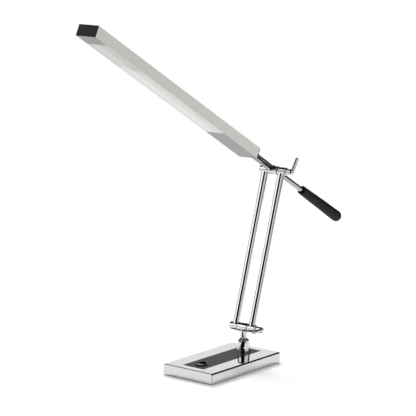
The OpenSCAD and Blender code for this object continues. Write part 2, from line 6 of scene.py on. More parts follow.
import bmesh
import bpy
from mathutils import Matrix, Vector


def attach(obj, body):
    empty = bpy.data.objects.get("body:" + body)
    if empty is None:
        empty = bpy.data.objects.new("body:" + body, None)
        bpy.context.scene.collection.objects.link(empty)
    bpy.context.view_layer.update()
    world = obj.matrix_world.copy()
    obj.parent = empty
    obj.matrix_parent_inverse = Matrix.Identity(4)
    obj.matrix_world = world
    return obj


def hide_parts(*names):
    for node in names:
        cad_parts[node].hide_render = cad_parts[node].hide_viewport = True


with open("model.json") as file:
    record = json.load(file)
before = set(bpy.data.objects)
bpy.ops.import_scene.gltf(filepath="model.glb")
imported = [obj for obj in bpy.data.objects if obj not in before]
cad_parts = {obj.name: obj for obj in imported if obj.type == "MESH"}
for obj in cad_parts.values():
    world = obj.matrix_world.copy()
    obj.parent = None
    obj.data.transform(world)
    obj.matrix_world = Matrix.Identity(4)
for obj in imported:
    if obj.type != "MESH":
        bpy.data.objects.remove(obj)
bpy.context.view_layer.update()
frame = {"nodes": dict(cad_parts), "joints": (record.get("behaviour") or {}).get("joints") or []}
scene = bpy.context.scene
scene.view_settings.view_transform = "Standard"

# ---------------------------------------------------------------------------
# Camera: a long lens in front of the lamp and to its right, a little above it.

camera_data = bpy.data.cameras.new("view")
camera_data.lens = 189.06
camera_data.sensor_width = 36.0
camera_data.clip_end = 100.0
camera = bpy.data.objects.new("view", camera_data)
camera.location = (2.4606, -3.0337, 1.0800)
camera.rotation_euler = Vector((-0.6230, 0.7575, -0.1952)).to_track_quat("-Z", "Y").to_euler()
scene.collection.objects.link(camera)
scene.camera = camera


# ---------------------------------------------------------------------------
# Studio: a plain white table in soft light. Polished metal also sees a black
# ceiling and far wall, a soft box on the left and a black card near the camera.


def linear(code):
    """An sRGB hex colour as linear red, green, blue and alpha."""
    parts = [int(code[i:i + 2], 16) / 255 for i in (1, 3, 5)]
    return [c / 12.92 if c <= 0.04045 else ((c + 0.055) / 1.055) ** 2.4 for c in parts] + [1.0]


def add(tree, kind, settings=None, **links):
    """Adds a node: its settings, and its inputs by name or index, as values, sockets or nodes."""
    made = tree.nodes.new(kind)
    for key, value in (settings or {}).items():
        setattr(made, key, value)
    for key, value in links.items():
        by_index = key[0] == "i" and key[1:].isdigit()
        socket = made.inputs[int(key[1:]) if by_index else key.replace("_", " ")]
        if isinstance(value, bpy.types.Node):
            value = value.outputs[0]
        if isinstance(value, bpy.types.NodeSocket):
            tree.links.new(value, socket)
        else:
            socket.default_value = value
    return made


SMOOTH, COLOURS = {"interpolation_type": "SMOOTHSTEP"}, {"data_type": "RGBA"}
TIMES, PLUS, LARGER, DOT = [{"operation": step} for step in ("MULTIPLY", "ADD", "MAXIMUM", "DOT_PRODUCT")]

studio = bpy.data.worlds.new("studio")
scene.world = studio
studio.use_nodes = True
sky = studio.node_tree
sky.nodes.clear()
way = add(sky, "ShaderNodeTexCoord").outputs["Generated"]
height = add(sky, "ShaderNodeSeparateXYZ", Vector=way).outputs["Z"]
towards_view, left_of_view = Vector((0.635, -0.772, 0.0)), Vector((-0.772, -0.635, 0.0))
facing = add(sky, "ShaderNodeVectorMath", DOT, i0=way, i1=towards_view).outputs["Value"]
sideways = add(sky, "ShaderNodeVectorMath", DOT, i0=way, i1=left_of_view).outputs["Value"]
behind = add(sky, "ShaderNodeVectorMath", DOT, i0=way, i1=(0.2, 0.98, 0.0)).outputs["Value"]
# the black wall on the far side: from 18 degrees up, and from the table straight behind the lamp
high_wall = add(sky, "ShaderNodeMapRange", SMOOTH, Value=height, From_Min=0.30, From_Max=0.34)
low_wall = add(sky, "ShaderNodeMapRange", SMOOTH, Value=behind, From_Min=0.86, From_Max=0.93)
far_side = add(sky, "ShaderNodeMapRange", SMOOTH, Value=facing, From_Min=0.05, From_Max=-0.25)
wall = add(sky, "ShaderNodeMath", LARGER, i0=high_wall, i1=low_wall)
wall = add(sky, "ShaderNodeMath", TIMES, i0=far_side, i1=wall)
# the black ceiling
ceiling = add(sky, "ShaderNodeMapRange", SMOOTH, Value=height, From_Min=0.76, From_Max=0.82)
# the black gap between the two front soft boxes, a little left of the camera
near_side = add(sky, "ShaderNodeMapRange", SMOOTH, Value=facing, From_Min=0.55, From_Max=0.70)
gap_left = add(sky, "ShaderNodeMapRange", SMOOTH, Value=sideways, From_Min=0.60, From_Max=0.52)
gap_right = add(sky, "ShaderNodeMapRange", SMOOTH, Value=sideways, From_Min=-0.28, From_Max=-0.20)
gap = add(sky, "ShaderNodeMath", TIMES, i0=gap_left, i1=gap_right)
gap = add(sky, "ShaderNodeMath", TIMES, i0=near_side, i1=gap)
dark = add(sky, "ShaderNodeMath", LARGER, i0=wall, i1=ceiling)
dark = add(sky, "ShaderNodeMath", LARGER, i0=dark, i1=gap)
# the left soft box, half as bright again as the rest
box_side = add(sky, "ShaderNodeMapRange", SMOOTH, Value=sideways, From_Min=0.62, From_Max=0.75)
box_foot = add(sky, "ShaderNodeMapRange", SMOOTH, Value=height, From_Min=0.22, From_Max=0.30)
box = add(sky, "ShaderNodeMath", TIMES, i0=box_side, i1=box_foot)
bright = add(sky, "ShaderNodeMath", {"operation": "MULTIPLY_ADD"}, i0=box, i1=0.5, i2=1.0)
# the grey floor and low walls of the room beyond the table
room = add(sky, "ShaderNodeMapRange", SMOOTH, Value=height, From_Min=0.11, From_Max=0.17, To_Min=0.42)
bright = add(sky, "ShaderNodeMath", TIMES, i0=bright, i1=room)
lit_part = add(sky, "ShaderNodeMath", {"operation": "SUBTRACT"}, i0=1.0, i1=dark)
lit = add(sky, "ShaderNodeBackground", Color=add(sky, "ShaderNodeMath", TIMES, i0=bright, i1=lit_part))
plain = add(sky, "ShaderNodeBackground", Color=(1.0, 1.0, 1.0, 1.0))
soft = add(sky, "ShaderNodeBackground", Color=(1.0, 1.0, 1.0, 1.0), Strength=0.64)
path = add(sky, "ShaderNodeLightPath").outputs
dull = add(sky, "ShaderNodeMixShader", i0=path["Is Diffuse Ray"], i1=lit, i2=soft)
mixed = add(sky, "ShaderNodeMixShader", i0=path["Is Camera Ray"], i1=dull, i2=plain)
add(sky, "ShaderNodeOutputWorld", Surface=mixed)

key_data = bpy.data.lights.new("key_soft_box", "AREA")
key_data.shape = "RECTANGLE"
key_data.size, key_data.size_y = 3.0, 2.4
key_data.energy = 235.0
key = bpy.data.objects.new("key_soft_box", key_data)
key.location = (-2.9, 2.4, 4.4)
key.rotation_euler = (Vector((0, 0, 0.1)) - key.location).to_track_quat("-Z", "Y").to_euler()
scene.collection.objects.link(key)
key.visible_glossy = False

table_mesh = bpy.data.meshes.new("table_top")
bm = bmesh.new()
bmesh.ops.create_circle(bm, cap_ends=True, segments=128, radius=1.6)
bm.to_mesh(table_mesh)
bm.free()
table = bpy.data.objects.new("table_top", table_mesh)
scene.collection.objects.link(table)

# A black card that only reflections see, a hand's length from the base on the camera's side
card_mesh = bpy.data.meshes.new("black_card")
bm = bmesh.new()
bmesh.ops.create_grid(bm, x_segments=1, y_segments=1, size=0.5)
card_turn = Matrix(((-left_of_view.x, 0, towards_view.x), (-left_of_view.y, 0, towards_view.y), (0, 1, 0)))
card_middle = Vector((0, 0.0625, 0.452)) + towards_view * 0.28 + left_of_view * 0.11
bm.transform(Matrix.Translation(card_middle) @ card_turn.to_4x4() @ Matrix.Diagonal((0.42, 0.90, 1.0, 1.0)))
bm.to_mesh(card_mesh)
bm.free()
card = bpy.data.objects.new("black_card", card_mesh)
scene.collection.objects.link(card)
card.visible_camera = card.visible_diffuse = card.visible_shadow = False


def finish(name):
    """A new node material: its tree, its shader and the object's own coordinates in millimetres."""
    material = bpy.data.materials.new(name)
    material.use_nodes = True
    tree = material.node_tree
    shader = tree.nodes["Principled BSDF"]
    own = add(tree, "ShaderNodeTexCoord").outputs["Object"]
    spot = add(tree, "ShaderNodeVectorMath", {"operation": "SCALE"}, i0=own, Scale=1000.0).outputs[0]
    return material, tree, shader, spot


def grain(tree, spot, size, detail=2.0, stretch=(1.0, 1.0, 1.0), turn=(0.0, 0.0, 0.0)):
    """Noise with features about size millimetres across, longer along an axis with stretch below 1."""
    mapped = add(tree, "ShaderNodeMapping", Vector=spot, Rotation=turn, Scale=stretch).outputs[0]
    return add(tree, "ShaderNodeTexNoise", Vector=mapped, Scale=1.0 / size, Detail=detail).outputs["Fac"]


def two_tone(tree, shader, factor, first, second):
    """Base colour between two sRGB colours."""
    mix = add(tree, "ShaderNodeMix", COLOURS, Factor=factor, i6=linear(first), i7=linear(second))
    tree.links.new(mix.outputs[2], shader.inputs["Base Color"])
    return mix


def relief(tree, shader, height_socket, depth, strength=0.5):
    """Bump of a real depth in millimetres."""
    bump = add(tree, "ShaderNodeBump", Height=height_socket, Strength=strength, Distance=depth / 1000)
    tree.links.new(bump.outputs[0], shader.inputs["Normal"])


def matched_roughness(tree, shader, factor, low, high):
    """Roughness that follows a pattern, between two values."""
    spread = add(tree, "ShaderNodeMapRange", SMOOTH, Value=factor, From_Min=0.3, From_Max=0.7, To_Min=low,
                 To_Max=high)
    tree.links.new(spread.outputs[0], shader.inputs["Roughness"])


# White melamine table top: satin, with a barely visible mottle
table_white, tree, shader, spot = finish("white_melamine")
two_tone(tree, shader, grain(tree, spot, 40.0), "#fcfcfc", "#fafafa")
shader.inputs["Roughness"].default_value = 0.75
shader.inputs["Specular IOR Level"].default_value = 0.0
table_mesh.materials.append(table_white)
card_black, tree, shader, spot = finish("black_flock")
two_tone(tree, shader, grain(tree, spot, 5.0), "#050505", "#080808")
shader.inputs["Specular IOR Level"].default_value = 0.0
card_mesh.materials.append(card_black)

# ---------------------------------------------------------------------------
# Base casting: die-cast zinc box with soft edges, polished and chrome plated,
# with a shallow pocket in its top for the insert plate. Hollow underneath.

BASE_W, BASE_L, BASE_H = 115.0, 202.0, 20.5
PAD_T, BASE_EDGE, BASE_WALL, BASE_TOP = 1.0, 2.5, 2.5, 4.0
PLATE_W, PLATE_L, PLATE_T, PLATE_RECESS = 49.0, 169.0, 1.8, 1.6
RIM_EASE, FOOT_EASE, NEAR = 0.3, 0.7, 1e-3
MM = Matrix.Scale(0.001, 4)


def chrome(name, tint="#d6d7d9", second="#ced0d2", shine=0.035):
    """Bright nickel-chrome plate: mirror-like, faint polishing haze, hairline scratches and dulled specks."""
    material, tree, shader, spot = finish(name)
    haze = grain(tree, spot, 9.0, 3.0)
    hair = grain(tree, spot, 0.35, 1.0, stretch=(0.05, 1.0, 1.0), turn=(0.3, 0.2, 0.6))
    two_tone(tree, shader, haze, tint, second)
    worn = add(tree, "ShaderNodeMapRange", SMOOTH, Value=hair, From_Min=0.62, From_Max=0.75, To_Max=0.05)
    cloud = add(tree, "ShaderNodeMapRange", SMOOTH, Value=haze, From_Min=0.35, From_Max=0.75, To_Min=shine,
                To_Max=shine + 0.035)
    dulled = add(tree, "ShaderNodeMath", PLUS, i0=cloud, i1=worn)
    tree.links.new(dulled.outputs[0], shader.inputs["Roughness"])
    shader.inputs["Metallic"].default_value = 1.0
    relief(tree, shader, hair, 0.002, 0.25)
    return material


def finished(mesh, name, body, material, nodes=(), smooth=35.0, steps=()):
    made = bpy.data.objects.new(name, mesh)
    scene.collection.objects.link(made)
    if mesh.materials:
        mesh.materials.clear()
    for one in material if isinstance(material, list) else [material]:
        mesh.materials.append(one)
    mesh.shade_smooth()
    mesh.set_sharp_from_angle(angle=math.radians(smooth))
    for kind, settings in steps:
        modifier = made.modifiers.new(kind.lower(), kind)
        for key, value in settings.items():
            setattr(modifier, key, value)
    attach(made, body)
    if nodes:
        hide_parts(*nodes)
    return made


def settle(bm, name, place=Matrix.Identity(4)):
    """Puts bmesh geometry in its place in the lamp, all in millimetres, and makes a mesh in metres of it."""
    bm.transform(MM @ place)
    mesh = bpy.data.meshes.new(name)
    bm.to_mesh(mesh)
    bm.free()
    return mesh


def eased(width, segments=3, angle=30.0):
    """Steps that round a piece's sharp edges by width millimetres and keep its flats flat."""
    return [("BEVEL", {"width": width / 1000, "segments": segments, "limit_method": "ANGLE",
                       "angle_limit": math.radians(angle), "harden_normals": False}),
            ("WEIGHTED_NORMAL", {"keep_sharp": True, "weight": 80})]


zinc_chrome = chrome("zinc_chrome_plate")

bm = bmesh.new()
bmesh.ops.create_cube(bm, size=1.0)
bmesh.ops.scale(bm, vec=(BASE_W, BASE_L, BASE_H - PAD_T), verts=bm.verts)
bmesh.ops.translate(bm, vec=(0, 0, (BASE_H + PAD_T) / 2), verts=bm.verts)
outer = [e for e in bm.edges if max(v.co.z for v in e.verts) > BASE_H / 2]
bmesh.ops.bevel(bm, geom=outer, offset=BASE_EDGE, segments=8, profile=0.5, affect="EDGES")
for axis, half in ((0, PLATE_W / 2), (1, PLATE_L / 2)):
    for side in (-1, 1):
        flat = [f for f in bm.faces if f.normal.z > 0.999 and abs(f.calc_center_median().z - BASE_H) < 1e-4]
        lines = {e for f in flat for e in f.edges}
        points = {v for f in flat for v in f.verts}
        at, out = [0, 0, 0], [0, 0, 0]
        at[axis], out[axis] = side * half, 1
        bmesh.ops.bisect_plane(bm, geom=list(flat) + list(lines) + list(points), plane_co=at, plane_no=out)
pocket = [f for f in bm.faces if f.normal.z > 0.999 and abs(f.calc_center_median().x) < 1
          and abs(f.calc_center_median().y) < 1 and abs(f.calc_center_median().z - BASE_H) < 1e-4]
sunk = bmesh.ops.extrude_face_region(bm, geom=pocket)
bmesh.ops.translate(bm, vec=(0, 0, -PLATE_RECESS),
                    verts=[v for v in sunk["geom"] if isinstance(v, bmesh.types.BMVert)])
bmesh.ops.delete(bm, geom=pocket, context="FACES")
under = min(bm.faces, key=lambda f: f.calc_center_median().z)
bmesh.ops.inset_individual(bm, faces=[under], thickness=BASE_WALL)
hollow = bmesh.ops.extrude_face_region(bm, geom=[under])
bmesh.ops.translate(bm, vec=(0, 0, BASE_H - BASE_TOP - PAD_T),
                    verts=[v for v in hollow["geom"] if isinstance(v, bmesh.types.BMVert)])
bmesh.ops.delete(bm, geom=[under], context="FACES_ONLY")
bmesh.ops.recalc_face_normals(bm, faces=bm.faces)


def on_pocket_rim(v):
    """On the upper edge of the pocket for the insert plate."""
    side, end = abs(v.co.x) - PLATE_W / 2, abs(v.co.y) - PLATE_L / 2
    return abs(v.co.z - BASE_H) < NEAR and abs(max(side, end)) < NEAR


def on_foot(v):
    """On the lower edge of the outer wall, round its corners too."""
    side, end = BASE_W / 2 - abs(v.co.x), BASE_L / 2 - abs(v.co.y)
    return abs(v.co.z - PAD_T) < NEAR and (min(side, end) < NEAR or max(side, end) < BASE_EDGE)


rim = [e for e in bm.edges if all(on_pocket_rim(v) for v in e.verts)]
bmesh.ops.bevel(bm, geom=rim, offset=RIM_EASE, segments=3, profile=0.5, affect="EDGES")
foot = [e for e in bm.edges if all(on_foot(v) for v in e.verts)]
bmesh.ops.bevel(bm, geom=foot, offset=FOOT_EASE, segments=2, profile=0.5, affect="EDGES")
# the long top edges and the upright corners get darker chrome than the flats: painted dark reflections
bm.normal_update()
for face in bm.faces:
    n, c = face.normal, face.calc_center_median()
    corner = 0.35 < abs(n.x) < 0.94 and 0.35 < abs(n.y) < 0.94 and abs(n.z) < 0.1
    shoulder = 0.08 < n.z < 0.96 and c.z > BASE_H / 2 and abs(n.x) > abs(n.y)
    face.material_index = 1 if shoulder else 2 if corner else 0
# darker chrome tints for the edges and corners are painted dark reflections
painted_dark_edge_chrome = chrome("painted_dark_reflection_edge_plate", "#5c5d60", "#545558", 0.05)
painted_dark_corner_chrome = chrome("painted_dark_reflection_corner_plate", "#a4a5a8", "#9c9da0", 0.05)
finished(settle(bm, "base_casting"), "base_casting", "base", [zinc_chrome, painted_dark_edge_chrome, painted_dark_corner_chrome],
         ["base_shell"], steps=[("WEIGHTED_NORMAL", {"keep_sharp": True, "weight": 90})])

# ---------------------------------------------------------------------------
# Inside the base: sand-cast iron weight, zinc-plated screws, black steel bottom
# plate and the foam sheet that the lamp stands on.


def shown(node, material):
    """Gives a CAD node its finish."""
    target = frame["nodes"][node].data
    target.materials.clear()
    target.materials.append(material)


# Lacquered grey iron, sand cast: coarse pitted skin
cast_iron, tree, shader, spot = finish("sand_cast_iron")
pits = grain(tree, spot, 1.2, 4.0)
two_tone(tree, shader, pits, "#1d1d1e", "#323233")
matched_roughness(tree, shader, pits, 0.5, 0.75)
shader.inputs["Metallic"].default_value = 0.6
relief(tree, shader, pits, 0.25, 0.8)
shown("base_weight", cast_iron)


def plated_steel(name, first, second):
    """Clear zinc over turned or rolled steel: soft shine with fine tool lines."""
    material, tree, shader, spot = finish(name)
    cloud = grain(tree, spot, 3.0, 2.0)
    lines = grain(tree, spot, 0.25, 1.0, stretch=(0.08, 1.0, 1.0))
    two_tone(tree, shader, cloud, first, second)
    matched_roughness(tree, shader, cloud, 0.22, 0.34)
    shader.inputs["Metallic"].default_value = 1.0
    relief(tree, shader, lines, 0.01, 0.4)
    return material


zinc_plate = plated_steel("clear_zinc_steel", "#b9bcc0", "#a7abb0")
for node in ("weight_screws", "cover_screws", "socket_washer", "socket_nut", "seat_plug", "counterweight"):
    shown(node, zinc_plate)

# Black electrocoated sheet steel: even, slightly glossy, dusty
black_sheet, tree, shader, spot = finish("black_coated_sheet")
dust = grain(tree, spot, 6.0, 4.0)
two_tone(tree, shader, dust, "#17181a", "#1f2022")
matched_roughness(tree, shader, dust, 0.35, 0.5)
relief(tree, shader, grain(tree, spot, 0.8, 2.0), 0.02, 0.4)
shown("base_cover", black_sheet)

# Closed-cell EVA foam: matt, with open cut cells about 0.4 mm across
foam, tree, shader, spot = finish("closed_cell_foam")
cells = add(tree, "ShaderNodeTexVoronoi", Vector=spot, Scale=2.5).outputs["Distance"]
two_tone(tree, shader, cells, "#141415", "#262628")
shader.inputs["Roughness"].default_value = 0.95
relief(tree, shader, cells, 0.12, 0.7)
shown("base_pad", foam)

# ---------------------------------------------------------------------------
# Insert plate: smoked acrylic sheet let into the pocket, with a fine leather-like
# grain that dulls its shine. The socket and the switch stand in its two holes.


def worked(node, name, body, material, width=0.3, segments=3):
    """A copy of a CAD node with its doubles merged, its flats made whole and its edges eased."""
    bm = bmesh.new()
    bm.from_mesh(frame["nodes"][node].data)
    bmesh.ops.remove_doubles(bm, verts=bm.verts, dist=1e-6)
    bmesh.ops.dissolve_limit(bm, angle_limit=math.radians(0.8), verts=bm.verts, edges=bm.edges)
    mesh = bpy.data.meshes.new(name)
    bm.to_mesh(mesh)
    bm.free()
    return finished(mesh, name, body, material, [node], steps=eased(width, segments))


smoked, tree, shader, spot = finish("smoked_acrylic_sheet")
leather = grain(tree, spot, 0.9, 3.0)
two_tone(tree, shader, grain(tree, spot, 14.0, 3.0), "#1b1b1d", "#222224")
matched_roughness(tree, shader, leather, 0.22, 0.36)
shader.inputs["Specular IOR Level"].default_value = 0.1
relief(tree, shader, leather, 0.03, 0.5)
worked("insert_plate", "insert_plate_sheet", "base", smoked, 0.35)

# ---------------------------------------------------------------------------
# Rocker switch: a snap-in round housing with a gloss rim and a dished rocker,
# both injection moulded in black nylon.


def turned(profile, segments=96, closed=True):
    """Turns a profile about Z. A point is a height, a radius and, if it is eased, a corner radius, all in
    millimetres. A closed profile is a ring; an open one ends on the axis at both ends."""
    points = []
    count = len(profile)
    for i, point in enumerate(profile):
        z, r = point[:2]
        ease = point[2] if len(point) > 2 else 0.0
        if ease <= 0.0:
            points.append((z, r))
            continue
        here = Vector((z, r))
        before = Vector(profile[(i - 1) % count][:2]) - here
        after = Vector(profile[(i + 1) % count][:2]) - here
        half = before.angle(after) / 2
        reach = min(ease / math.tan(half), before.length * 0.49, after.length * 0.49)
        middle = here + (before.normalized() + after.normalized()).normalized() * (reach / math.cos(half))
        start = here + before.normalized() * reach - middle
        end = here + after.normalized() * reach - middle
        for k in range(5):
            arm = (start * (1 - k / 4) + end * (k / 4)).normalized() * start.length
            points.append(tuple(middle + arm))
    bm = bmesh.new()
    rings = []
    for z, r in points:
        if r < 1e-6:
            rings.append([bm.verts.new((0, 0, z))])
        else:
            turns = [math.tau * k / segments for k in range(segments)]
            rings.append([bm.verts.new((r * math.cos(a), r * math.sin(a), z)) for a in turns])
    pairs = list(zip(rings, rings[1:])) + ([(rings[-1], rings[0])] if closed else [])
    for low, high in pairs:
        for k in range(segments):
            n = (k + 1) % segments
            corners = [low[k % len(low)], low[n % len(low)], high[n % len(high)], high[k % len(high)]]
            corners = [v for j, v in enumerate(corners) if v not in corners[:j]]
            if len(corners) > 2:
                bm.faces.new(corners)
    bmesh.ops.recalc_face_normals(bm, faces=bm.faces)
    return bm


def arc(z, radius, low, high, steps=16):
    """Points on a circle about (z, 0), by angle from the axis."""
    return [(z + radius * math.cos(math.radians(low + (high - low) * k / steps)),
             abs(radius * math.sin(math.radians(low + (high - low) * k / steps)))) for k in range(steps + 1)]


def moulded(name, first, second, low=0.28, high=0.42, depth=0.02, size=0.6, gloss=0.3):
    """Injection-moulded plastic from an etched tool: fine even grain, faint flow clouds."""
    material, tree, shader, spot = finish(name)
    clouds = grain(tree, spot, 12.0, 2.0)
    two_tone(tree, shader, clouds, first, second)
    matched_roughness(tree, shader, clouds, low, high)
    relief(tree, shader, grain(tree, spot, size, 2.0), depth, 0.5)
    shader.inputs["Specular IOR Level"].default_value = gloss
    return material


gloss_black = moulded("gloss_black_nylon", "#050506", "#09090a", 0.08, 0.14, 0.006, 1.5, 0.2)
grained_black = moulded("grained_black_plastic", "#141416", "#1c1c1f")
PLATE_TOP = BASE_H - PLATE_RECESS + PLATE_T
SWITCH_Y, SWITCH_R, SWITCH_DEPTH, BEZEL_R, BEZEL_T = 24.0 - PLATE_L / 2, 9.9, 12.0, 11.5, 1.6
WELL_R, WELL_DEPTH = 9.0, 6.0
switch_place = Matrix.Translation((0, SWITCH_Y, PLATE_TOP))
housing = turned([(-SWITCH_DEPTH, 0), (-SWITCH_DEPTH, SWITCH_R, 0.4), (0.0, SWITCH_R), (0.0, BEZEL_R, 0.2),
                  (BEZEL_T, BEZEL_R - 0.2, 0.7), (BEZEL_T, WELL_R + 0.6, 0.4), (0.7, WELL_R + 0.1, 0.2),
                  (-WELL_DEPTH, WELL_R), (-WELL_DEPTH, 0)], closed=False)
finished(settle(housing, "switch_housing", switch_place), "switch_housing", "base", gloss_black,
         ["switch_body"])
worked("switch_rocker", "switch_rocker_cap", "rocker", gloss_black, 0.5, 4)

# Inside the base: brass blades under the switch, the LED driver's board and its parts
brass, tree, shader, spot = finish("rolled_brass")
tarnish = grain(tree, spot, 2.0, 3.0)
two_tone(tree, shader, tarnish, "#c9a253", "#a9843f")
matched_roughness(tree, shader, tarnish, 0.25, 0.4)
shader.inputs["Metallic"].default_value = 1.0
shown("switch_terminals", brass)

# Solder mask over copper tracks about 1 mm apart
mask_green, tree, shader, spot = finish("green_solder_mask")
tracks = add(tree, "ShaderNodeTexVoronoi", {"distance": "MANHATTAN"}, Vector=spot, Scale=0.45)
tracks = tracks.outputs["Distance"]
bare = add(tree, "ShaderNodeMapRange", SMOOTH, Value=tracks, From_Min=0.45, From_Max=0.55)
two_tone(tree, shader, bare, "#0d4a2b", "#136238")
shader.inputs["Roughness"].default_value = 0.3
relief(tree, shader, tracks, 0.03, 0.6)
shown("driver_board", mask_green)
shown("driver_components", moulded("filled_epoxy_case", "#1a1a1c", "#26262a", 0.45, 0.6, 0.03, 0.5))
shown("board_screws", zinc_plate)
worked("power_inlet", "power_inlet_socket", "base", grained_black, 0.25)

# ---------------------------------------------------------------------------
# Ball swivel: a chromed socket screwed to the base. The ball sits on a nylon cup
# inside it, and the notch at its front lets the post lie forward.


def combined(first, second, operation="DIFFERENCE"):
    """Cuts one bmesh solid with another, or joins them. Both are used up."""
    blanks = []
    for part in (first, second):
        mesh = bpy.data.meshes.new("blank")
        part.to_mesh(mesh)
        part.free()
        blank = bpy.data.objects.new("blank", mesh)
        scene.collection.objects.link(blank)
        blanks.append(blank)
    modifier = blanks[0].modifiers.new("cut", "BOOLEAN")
    modifier.operation, modifier.solver, modifier.object = operation, "EXACT", blanks[1]
    view = bpy.context.evaluated_depsgraph_get()
    result = bpy.data.meshes.new_from_object(blanks[0].evaluated_get(view))
    bm = bmesh.new()
    bm.from_mesh(result)
    for blank in blanks:
        mesh = blank.data
        bpy.data.objects.remove(blank)
        bpy.data.meshes.remove(mesh)
    bpy.data.meshes.remove(result)
    return bm


def prism(outline, low, high, place=Matrix.Identity(4)):
    """A straight bar of an outline in X and Y, from height low to high."""
    bm = bmesh.new()
    bottom = [bm.verts.new((x, y, low)) for x, y in outline]
    top = [bm.verts.new((x, y, high)) for x, y in outline]
    bm.faces.new(list(reversed(bottom)))
    bm.faces.new(top)
    for k in range(len(outline)):
        n = (k + 1) % len(outline)
        bm.faces.new((bottom[k], bottom[n], top[n], top[k]))
    bmesh.ops.recalc_face_normals(bm, faces=bm.faces)
    bm.transform(place)
    return bm


steel_chrome = chrome("steel_chrome_plate", "#dadbdd", shine=0.025)
ALONG_X = Matrix.Rotation(math.radians(90), 4, "Y")
ALONG_Y = Matrix.Rotation(math.radians(-90), 4, "X")
SOCKET_Y = PLATE_L / 2 - 22.0
BALL_R, BALL_RISE, NECK_R, NECK_PLAY, BALL_PLAY = 8.0, 15.5, 3.5, 0.3, 0.1
SHANK_R, SHANK_L, FOOT_R, SHOULDER_R, SHOULDER_Z, CROWN_R, CROWN_Z = 10.0, 13.0, 12.9, 10.7, 21.0, 6.2, 25.2
socket_place = Matrix.Translation((0, SOCKET_Y, PLATE_TOP))
NOTCH_Z = 22.3
bore, mouth = BALL_R + BALL_PLAY, NECK_R + NECK_PLAY
mouth_angle = math.degrees(math.asin(mouth / bore))
cup = turned([(-SHANK_L, bore), (-SHANK_L, SHANK_R, 0.5), (0.0, SHANK_R), (0.0, FOOT_R, 0.25),
              (SHOULDER_Z, SHOULDER_R, 0.9), (CROWN_Z, CROWN_R, 0.6), (CROWN_Z, mouth, 0.3)]
             + arc(BALL_RISE, bore, mouth_angle, 90.0))
half_turn = [math.radians(180 + 180 * k / 24) for k in range(25)]
sides = [(mouth * math.cos(a), NOTCH_Z + mouth * math.sin(a)) for a in half_turn]
notch = prism(sides + [(mouth, 40.0), (-mouth, 40.0)], 0.0, 26.0, Matrix.Rotation(math.radians(90), 4, "X"))
finished(settle(combined(cup, notch), "swivel_socket_turned", socket_place), "swivel_socket_turned", "base",
         zinc_chrome, ["swivel_socket"], smooth=28.0)

ball_z = PLATE_TOP + BALL_RISE
ball_place = Matrix.Translation((0, SOCKET_Y, ball_z))
ball = turned(arc(0.0, BALL_R, 168.0, 22.0, 40) + [(-5.3, 3.0), (-5.3, 1.66)])
finished(settle(ball, "swivel_ball_turned", ball_place), "swivel_ball_turned", "ball", steel_chrome,
         ["swivel_ball"])
# Natural nylon: milky, slightly waxy
nylon = moulded("natural_nylon", "#dcd9cd", "#e6e3d8", 0.35, 0.5)
shown("ball_seat", nylon)

# ---------------------------------------------------------------------------
# Post and lower hub: turned steel, saddle-jointed and brazed, then chromed. Thin
# washers on the hub's ends rub on the arm's sleeves.

joints = {joint["name"]: joint for joint in frame["joints"]}
PIVOT_Y = Vector(joints["arm_lift"]["axis"])
swivel_turn = Matrix.Rotation(math.atan2(PIVOT_Y.y, PIVOT_Y.x), 4, "Z")
low_joint = Matrix.Translation(Vector(joints["arm_lift"]["pos_m"]) * 1000) @ swivel_turn
high_joint = Matrix.Translation(Vector(joints["head_tilt"]["pos_m"]) * 1000) @ swivel_turn
span = high_joint.translation - low_joint.translation
lean = math.atan2(math.hypot(span.x, span.y), span.z)
arm_place = low_joint @ Matrix.Rotation(-lean, 4, "X")
ARM_L = span.length
HUB_R, HUB_HALF, BOLT_R, BOLT_HOLE_R = 8.2, 10.7, 3.0, 3.05
RUB_WASHER_R, RUB_WASHER_T, POST_R, WIREWAY_R, SPIGOT_R = 7.0, 0.6, 6.5, 1.6, 2.95


def hub():
    """A drilled steel barrel with eased ends, for the middle of a joint."""
    bm = turned([(-HUB_HALF, BOLT_HOLE_R), (-HUB_HALF, HUB_R, 0.45), (HUB_HALF, HUB_R, 0.45),
                 (HUB_HALF, BOLT_HOLE_R)])
    bm.transform(ALONG_X)
    return bm


def solid_bar(radius, low, high, place=ALONG_X):
    """A plain round bar, to cut with."""
    bm = turned([(low, 0), (low, radius), (high, radius), (high, 0)], closed=False)
    bm.transform(place)
    return bm


post_l = low_joint.translation.z - ball_z
post = turned([(-5.0, WIREWAY_R), (-5.0, SPIGOT_R, 0.3), (8.3, SPIGOT_R), (8.3, NECK_R), (11.9, NECK_R, 0.4),
               (11.9, POST_R, 0.7), (post_l, POST_R), (post_l, WIREWAY_R)])
post.transform(Matrix.Translation((0, 0, -post_l)))
post = combined(post, solid_bar(HUB_R, -20.0, 20.0))
finished(settle(post, "post_turned", low_joint), "post_turned", "stem", steel_chrome,
         ["stem_post"])
finished(settle(hub(), "lower_hub_turned", low_joint), "lower_hub_turned", "stem", steel_chrome,
         ["lower_hub"])

# Black acetal washers: smooth, slightly shiny where they rub
acetal = moulded("black_acetal", "#17171a", "#202024", 0.3, 0.45)


def rub_washers(place, name, body, node):
    """The two thin washers on a hub's ends."""
    both = bmesh.new()
    for side in (-1, 1):
        low, high = sorted((side * HUB_HALF, side * (HUB_HALF + RUB_WASHER_T)))
        ring = turned([(low, BOLT_HOLE_R), (low, RUB_WASHER_R, 0.12), (high, RUB_WASHER_R, 0.12),
                       (high, BOLT_HOLE_R)])
        ring.transform(ALONG_X)
        mesh = bpy.data.meshes.new("ring")
        ring.to_mesh(mesh)
        ring.free()
        both.from_mesh(mesh)
        bpy.data.meshes.remove(mesh)
    finished(settle(both, name, place), name, body, acetal, [node])


rub_washers(low_joint, "lower_rub_washers", "stem", "lower_friction_washers")

# ---------------------------------------------------------------------------
# Arm: two chromed steel tubes coped and brazed to turned sleeves. A socket-head
# bolt runs through each joint from the left, and a washer spreads its clamp.

